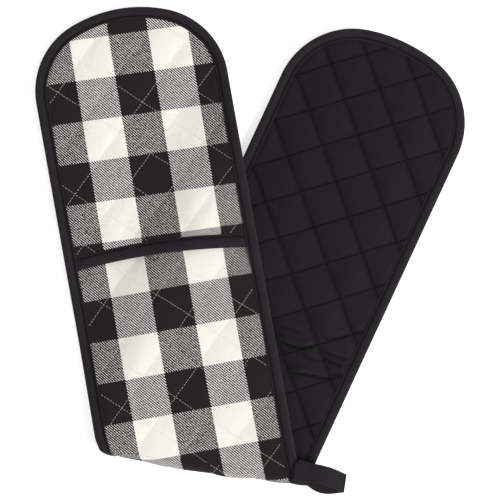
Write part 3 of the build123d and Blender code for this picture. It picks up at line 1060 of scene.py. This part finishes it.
def fold_place(t, turn, u):
    """A point of the fold.  turn is 0 on the lower half and pi on the upper."""
    share = turn / math.pi
    along_edge = t / math.cos(FOLD_SKEW)
    sidestep = FOLD_BULGE * math.tan(FOLD_SKEW)
    along = mix(along_edge + sidestep + FOLD_SIDESTEP, along_edge - sidestep, share)
    radius = FOLD_RADIUS + u
    across = FOLD_BULGE - radius * fold_tightness(t, along) * np.sin(turn)
    shift = corner_shift(t) * (smooth(share) + CORNER_PULL_IN_FOLD * np.sin(turn) ** 2)
    points = from_fold(along, across, FOLD_HEIGHT - radius * np.cos(turn))
    return points + shift[..., None] * halves["upper"].across


def through_fold(level, t, turn, radius):
    """Carries a level from one half to the other through the fold."""
    lower, upper = halves["lower"], halves["upper"]
    at_lower = level(lower, t, lower.fold_end(t) - radius * turn)
    at_upper = level(upper, t, upper.fold_end(t) - radius * (math.pi - turn))
    return mix(at_lower, at_upper, smooth(turn / math.pi))


def fold_check_level(t, turn):
    return through_fold(Half.check_level, t, turn, FOLD_RADIUS + PANEL)


def fold_black_level(t, turn):
    return through_fold(Half.black_level, t, turn, FOLD_RADIUS)


def lay_fold():
    """The three layers where the strip turns from the lower half to the upper."""
    reach = HALF_WIDTH - TUCKED_UNDER
    columns = int(2 * reach / MESH_STEP) + 1
    turn = np.linspace(0, math.pi, FOLD_STEPS + 1)
    t, turn = np.meshgrid(np.linspace(-reach, reach, columns), turn)
    t, turn, quads = t.ravel(), turn.ravel(), grid_faces(FOLD_STEPS + 1, columns)
    upper = halves["upper"]
    s = upper.fold_end(t) - (math.pi - turn) * (FOLD_RADIUS + PANEL)
    check, black = fold_check_level(t, turn), fold_black_level(t, turn)
    inset = CLOTH + BESIDE_CLOTH

    def lay(part, outer, inner, material, cloth, node):
        points, faces = closed_sheet(fold_place(t, turn, outer), fold_place(t, turn, inner), quads)
        cloth = np.concatenate([cloth] * 2)
        return make_piece(f"fold_{part}", points, faces, material, cloth, [f"fold_{node}"])

    return (
        lay("check_cloth", check, check - CLOTH, CHECK, panel_weave(upper, t, s), "check_face"),
        lay("padding", check - inset, black + inset, WADDING, paired(t, s), "wadding"),
        lay("black_cloth", black + CLOTH, black, BLACK, paired(t, s), "black_backing"),
    )


def fold_tape(name, side):
    """The edge binding as it turns through the fold."""
    turn = np.linspace(0, math.pi, FOLD_STEPS + 1)
    t_in = np.full_like(turn, side * (HALF_WIDTH - BINDING))
    low, high = fold_black_level(t_in, turn), fold_check_level(t_in, turn)

    def place(inwards, u):
        return fold_place(side * (HALF_WIDTH - inwards), np.broadcast_to(turn[:, None], u.shape), u)

    return wrap_tape(
        f"fold_{name}_tape", EDGE_SECTION, turn * FOLD_BULGE, low, high, place, side < 0,
        f"fold_{name}_binding",
    )


# ---- stitches ----
STITCH_SIDES = 5
STITCH_RINGS = (  # along the stitch, its width there, and its lift
    (-0.5, 0.45, -0.5),
    (-0.36, 1.0, 0.35),
    (0.36, 1.0, 0.35),
    (0.5, 0.45, -0.5),
)
LINE_WANDER = 0.5
STITCH_WANDER = 0.15
FEWEST_STITCHES = 3  # a shorter row is left out
LINES_EACH_WAY = 12  # of a quilting's family, from its first
LINES_EACH_WAY_IN_FOLD = 4
OFF_BINDING = 0.5  # the rows end this far from the binding
PAST_FOLD = 1.5  # and on a half, this far from the fold
ROWS_UNDER_POCKET = 25.0
TOPSTITCH_INSET = 8.5
TOPSTITCH_LIFT = 0.35
TOPSTITCH_START = 4.0  # along the edge, from each end of the fold
MOUTH_TOPSTITCH = 0.78  # of the mouth's binding
MOUTH_TOPSTITCH_LIFT = 0.3
MOUTH_TOPSTITCH_REACH = 80.0


def stitches(name, runs, material, radius=THREAD_RADIUS):
    """One mesh of little bent rods.  Each run is (centres, directions, normals)."""
    centres, forward, normal = (np.concatenate(values) for values in zip(*runs))
    forward /= np.linalg.norm(forward, axis=1)[:, None]
    normal /= np.linalg.norm(normal, axis=1)[:, None]
    aside = np.cross(forward, normal)
    points, cloth = [], []
    for along, width, lift in STITCH_RINGS:
        along *= STITCH_LENGTH
        for side in range(STITCH_SIDES):
            angle = math.tau * side / STITCH_SIDES
            offset = radius * width * (math.cos(angle) * aside + math.sin(angle) * normal)
            points.append(centres + along * forward + radius * lift * normal + offset)
            cloth.append(np.tile([along, angle * radius], (len(centres), 1)))
    points = np.stack(points, axis=1).reshape(-1, 3)
    cloth = np.stack(cloth, axis=1).reshape(-1, 2)
    one = tube_faces(len(STITCH_RINGS), STITCH_SIDES)
    each = len(STITCH_RINGS) * STITCH_SIDES
    faces = [[index + each * k for index in face] for k in range(len(centres)) for face in one]
    return make_piece(name, points, faces, material, cloth)


def quilting_lines(quilting, reach, lines_each_way):
    """For each line of a quilting: its number, its crossing, and evenly spaced points on it."""
    for slope, start, spacing in quilting.families:
        for number in range(-lines_each_way, lines_each_way + 1):
            crossing = start + spacing * number
            t = np.arange(-reach, reach, STITCH_PITCH / math.hypot(1, slope))
            yield number, crossing, t, crossing + slope * t


def rows_of_stitches(half, quilting, level, faces_up, inside):
    """Stitches along the quilting, where inside(t, s) is true."""
    runs = []
    for number, crossing, t, s in quilting_lines(quilting, HALF_WIDTH, LINES_EACH_WAY):
        s = s + LINE_WANDER * ripples(t, t * 0 + crossing, 45, 31 + number)
        t = t + STITCH_WANDER * ripples(t, s, 13, 61 + number)
        keep = inside(t, s)
        if keep.sum() >= FEWEST_STITCHES:
            runs.append(surface_run(half, t[keep], s[keep], level, faces_up))
    return runs


def surface_run(half, t, s, level, faces_up):
    """Centres, directions and normals of stitches at points of a surface."""
    def at(t, s):
        return half.place(t, s, level(t, s))

    centres = at(t, s)
    small = 1.0
    across = at(t + small, s) - at(t - small, s)
    along = at(t, s + small) - at(t, s - small)
    normal = np.cross(across, along)
    return centres, np.gradient(centres, axis=0), normal if faces_up else -normal


def seam_run(half, run, on_check_side):
    """Topstitching on one side of the edge binding."""
    t, s = half.edge_point(run, TOPSTITCH_INSET)
    low, high = tape_levels(half, *half.edge_point(run, BINDING))
    centres = half.place(t, s, high + TOPSTITCH_LIFT if on_check_side else low - TOPSTITCH_LIFT)
    normal = UP if on_check_side == half.check_up else -UP
    return centres, np.gradient(centres, axis=0), np.broadcast_to(normal, centres.shape).copy()


# ---- the hanging loop ----
LOOP_LENGTH = 39.0
LOOP_SEWN = 9.0  # more of it, under its sewn end
LOOP_WIDTH = 17.6
LOOP_THICKNESS = 0.9
LOOP_LEVEL = 0.3  # above its joint
LOOP_DROP = 11.5  # down to the crease
LOOP_ARCH = 1.2  # the upper strand stands above its drop
LOOP_CURVE = 1.9  # and curves aside
TIP_ASIDE = 1.3
CREASE_RADIUS = 1.0
CREASE_REACH = 1.1
STRAND_GAP = 1.7  # at the sewn end
BOW_ASIDE = 6.3  # of the strand underneath
BOW_SAG = 2.6
BOW_TILT = 0.45
LOOP_SKEW = 0.2
TAPE_SIDES = 22
LOOP_BEND = (-1.0, 9.0)  # along it, from its joint
SEWN_LENGTH, SEWN_WIDTH = 15.5, 22.5
SEWN_ALONG, SEWN_ACROSS = 93.0, 13.0  # its middle, from the fold's
SEWN_THICKNESS = 1.1
SEWN_ABOVE = 0.4  # its middle, above its CAD solid
SEWN_ROUNDING = 0.10
SEWN_FALLS = ((1.3, 0.8), (2.4, 0.45), (1.6, 0.3))  # how far, and from where: rim, near side, right
SEWN_UNEVENNESS = 0.12


def tape_along(line, widthways, width, thickness):
    """A soft flat tape swept along a line of points; widthways is its side direction at each."""
    forward = np.gradient(line, axis=0)
    normal = np.cross(widthways, forward / np.linalg.norm(forward, axis=1)[:, None])
    normal /= np.linalg.norm(normal, axis=1)[:, None]
    angle = math.tau * np.arange(TAPE_SIDES) / TAPE_SIDES
    flat = np.sign(np.cos(angle)) * np.abs(np.cos(angle)) ** 0.35 * width / 2
    thick = np.sign(np.sin(angle)) * np.abs(np.sin(angle)) ** 0.6 * thickness / 2
    points = line[:, None] + flat[:, None] * widthways[:, None] + thick[:, None] * normal[:, None]
    run = np.concatenate([[0], np.cumsum(np.linalg.norm(np.diff(line, axis=0), axis=1))])
    cloth = paired(*np.broadcast_arrays(run[:, None], flat + thick))
    return points.reshape(-1, 3), tube_faces(len(line), TAPE_SIDES), cloth.reshape(-1, 2)


def hanging_loop():
    """The tape goes out to its crease, turns under and comes back with a bow."""
    root, axis = joint_line("loop_swing")
    out = np.cross(UP, axis)
    out = out if out[0] > 0 else -out
    aside = np.cross(UP, out)

    def line_of(forward, sideways, rise):
        places = np.broadcast_arrays(forward, sideways, rise + LOOP_LEVEL)
        return root + np.stack(places, axis=1) @ np.stack([out, aside, UP])

    there = np.linspace(-LOOP_SEWN, LOOP_LENGTH, 26)
    share = np.clip(there / LOOP_LENGTH, 0, 1)
    arch = np.sin(math.pi * share)
    upper_strand = line_of(
        there, LOOP_CURVE * arch + TIP_ASIDE * smooth(share),
        LOOP_ARCH * arch - LOOP_DROP * share**2.2,
    )
    bend = np.linspace(0, math.pi, 9)[1:-1]
    crease = line_of(
        LOOP_LENGTH + CREASE_REACH * np.sin(bend), TIP_ASIDE,
        CREASE_RADIUS * (np.cos(bend) - 1) - LOOP_DROP,
    )
    back, back_share = there[::-1], share[::-1]
    bow = np.sin(math.pi * back_share**1.05)
    lower_strand = line_of(
        back, TIP_ASIDE * smooth(back_share) - BOW_ASIDE * bow,
        -STRAND_GAP - LOOP_DROP * back_share**1.3 - BOW_SAG * bow,
    )
    skew = LOOP_SKEW * np.concatenate([share, np.ones_like(bend), back_share])[:, None] ** 2
    tilt = BOW_TILT * np.concatenate([0 * share, 0 * bend, bow])[:, None]
    points, faces, cloth = tape_along(
        np.concatenate([upper_strand, crease, lower_strand]), aside - skew * out - tilt * UP,
        LOOP_WIDTH, LOOP_THICKNESS,
    )
    return make_piece("loop_tape", points, faces, LOOP_TAPE, cloth, ["hanging_loop"]), root, out


def sewn_end():
    """The end of the tape, stitched over the binding: a soft pad with a folded edge."""
    columns, rows = 31, 41
    x, y = np.meshgrid(np.linspace(-1, 1, columns), np.linspace(-1, 1, rows))
    edge = np.maximum(np.abs(x), np.abs(y))
    rounding = 1 - SEWN_ROUNDING * np.clip(np.hypot(x, y) - 1, 0, 1)
    fall = sum(
        depth * ease(place, start, 1) for (depth, start), place in zip(SEWN_FALLS, (edge, -y, x))
    )
    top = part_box("loop_sewn_end")[1].z / MM + SEWN_ABOVE
    height = top - fall + SEWN_UNEVENNESS * ripples(x * 8, y * 11, 9, 71)
    along = SEWN_ALONG + x * rounding * SEWN_LENGTH / 2
    across = SEWN_ACROSS + y * rounding * SEWN_WIDTH / 2
    points, faces = closed_sheet(
        from_fold(along, across, height).reshape(-1, 3),
        from_fold(along, across, height - SEWN_THICKNESS).reshape(-1, 3),
        grid_faces(rows, columns),
    )
    cloth = np.concatenate([paired(along, across).reshape(-1, 2)] * 2)
    return make_piece("loop_sewn_tape", points, faces, LOOP_TAPE, cloth, ["loop_sewn_end"])


# ---- camera, light and floor ----
LENS, SENSOR = 200.0, 36.0
SEEN_WIDTH = 0.4677  # metres, at the height below
SEEN_LEVEL = 0.010
SKY = 0.52
KEY_LIGHT = 2.9
KEY_SOFTNESS = math.radians(25)
KEY_FROM = Vector((1.0, -0.42, 0.95))
FLOOR_REACH = 3000.0
FLOOR_LEVEL = -0.05


def camera_and_light():
    scene = bpy.context.scene
    camera = bpy.data.cameras.new("camera")
    camera.lens = LENS
    camera.sensor_width = SENSOR
    eye = bpy.data.objects.new("camera", camera)
    eye.location = (0, 0, SEEN_WIDTH * LENS / SENSOR + SEEN_LEVEL)
    scene.collection.objects.link(eye)
    scene.camera = eye
    world = bpy.data.worlds.new("studio")
    world.use_nodes = True
    background = world.node_tree.nodes["Background"]
    background.inputs["Color"].default_value = (1, 1, 1, 1)
    background.inputs["Strength"].default_value = SKY
    scene.world = world
    lamp = bpy.data.lights.new("key", "SUN")
    lamp.energy = KEY_LIGHT
    lamp.angle = KEY_SOFTNESS
    light = bpy.data.objects.new("key", lamp)
    light.rotation_euler = KEY_FROM.to_track_quat("Z", "Y").to_euler()
    scene.collection.objects.link(light)
    scene.view_settings.view_transform = "Standard"


def pale_ground():
    a, z = FLOOR_REACH, FLOOR_LEVEL
    corners = [(-a, -a, z), (a, -a, z), (a, a, z), (-a, a, z)]
    make_piece("floor", corners, [(0, 1, 2, 3)], pale_floor())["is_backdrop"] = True


# ---- putting it together ----
MID_POCKET = 250.0  # a place along a half that its pocket covers


def points_of(piece):
    """The piece's points, in millimetres."""
    points = np.zeros(len(piece.data.vertices) * 3)
    piece.data.vertices.foreach_get("co", points)
    return points.reshape(-1, 3) / MM


def bend_through_fold(piece):
    """Bakes the piece's transform into its mesh."""
    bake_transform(piece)
    offset = points_of(piece) - FOLD_AXIS_POINT


def bow_with_pocket(piece, half):
    """Bakes the piece's transform into its mesh."""
    side, middle = half.place(np.array([HALF_WIDTH, 0.0]), np.full(2, MID_POCKET), np.zeros(2))
    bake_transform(piece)
    offset = points_of(piece) - half.origin
    t, s = offset @ half.across, offset @ half.along
    inside = (half.edge_distance(t, s) - BINDING) / (HALF_WIDTH - BINDING)


def inside_binding(half, t, s):
    return half.edge_distance(t, s) > BINDING + OFF_BINDING


def build_panel(half):
    """The layers, binding and stitches of a half, which all ride on it."""
    check, black, padding = lay_panel(half)
    tape = edge_tape(half)

    def on_panel(t, s):
        return inside_binding(half, t, s) & (s > half.fold_end(t) + PAST_FOLD)

    def on_open_panel(t, s):
        return on_panel(t, s) & (s < mouth_line(t) + ROWS_UNDER_POCKET)

    rows = rows_of_stitches(half, half.quilting, half.check_level, half.check_up, on_open_panel)
    check_rows = stitches(f"{half.name}_check_quilting", rows, PALE_THREAD)
    rows = rows_of_stitches(half, half.quilting, half.black_level, not half.check_up, on_panel)
    black_rows = stitches(f"{half.name}_black_quilting", rows, BLACK_THREAD, BLACK_THREAD_RADIUS)
    run = np.arange(TOPSTITCH_START, half.edge_length - TOPSTITCH_START, STITCH_PITCH)
    rows = [seam_run(half, run, True), seam_run(half, run, False)]
    seams = stitches(f"{half.name}_edge_topstitch", rows, BLACK_THREAD)
    for piece in (check, black, padding, tape, check_rows, black_rows, seams):
        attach(piece, f"{half.name}_half")
    return check, padding


def build_pocket(half, panel_check):
    """The layers, binding and stitches of a pocket."""
    check, lining, padding = lay_pocket(half)
    mouth = mouth_tape(half)

    def on_pocket(t, s):
        return inside_binding(half, t, s) & (s > mouth_line(t) + MOUTH_BINDING)

    def on_mouth_tape(t, s):
        return half.pocket_level(t, mouth_line(t) + MOUTH_BINDING) + MOUTH_TOPSTITCH_LIFT

    rows = rows_of_stitches(half, half.pocket_quilting, half.pocket_level, half.check_up, on_pocket)
    check_rows = stitches(f"{half.name}_pocket_quilting", rows, PALE_THREAD)
    across = np.arange(-MOUTH_TOPSTITCH_REACH, MOUTH_TOPSTITCH_REACH, STITCH_PITCH)
    along = mouth_line(across) + MOUTH_TOPSTITCH * MOUTH_BINDING
    rows = [surface_run(half, across, along, on_mouth_tape, half.check_up)]
    mouth_rows = stitches(f"{half.name}_mouth_topstitch", rows, BLACK_THREAD)
    for piece in (check, lining, padding, mouth, check_rows, mouth_rows):
        bow_with_pocket(piece, half)
    return padding


def build_fold():
    """The layers, binding and stitches of the fold."""
    check, padding, black = lay_fold()
    tapes = [fold_tape("left", -1), fold_tape("right", 1)]
    upper = halves["upper"]
    runs = []
    reach = HALF_WIDTH - BINDING - OFF_BINDING
    for _, _, t, s in quilting_lines(upper.quilting, reach, LINES_EACH_WAY_IN_FOLD):
        turn = math.pi - (upper.fold_end(t) - s) / (FOLD_RADIUS + PANEL)
        keep = (turn > 0) & (turn < math.pi)
        if keep.sum() < FEWEST_STITCHES:
            continue
        t, turn = t[keep], turn[keep]
        level = fold_check_level(t, turn)
        centres, below = fold_place(t, turn, level), fold_place(t, turn, level - 2)
        runs.append((centres, np.gradient(centres, axis=0), centres - below))
    rows = stitches("fold_quilting", runs, PALE_THREAD)
    for piece in (check, padding, black, rows, *tapes):
        bend_through_fold(piece)


def build_loop():
    loop, root, out = hanging_loop()
    start, end = (Vector((root + place * out) * MM) for place in LOOP_BEND)
    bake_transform(loop)
    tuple(start)
    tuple(end)
    bend_through_fold(sewn_end())


def write_sizes():
    sizes = {"cad": cad_box, "visual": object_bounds()}
    {name: [list(corner) for corner in box] for name, box in sizes.items()}


camera_and_light()
pale_ground()
for quilting in (panel_quilting, lower_quilting, pocket_quilting):
    quilting.simulate()
for half in halves.values():
    check, padding = build_panel(half)
    pocket_padding = build_pocket(half, check)
build_fold()
build_loop()
write_sizes()
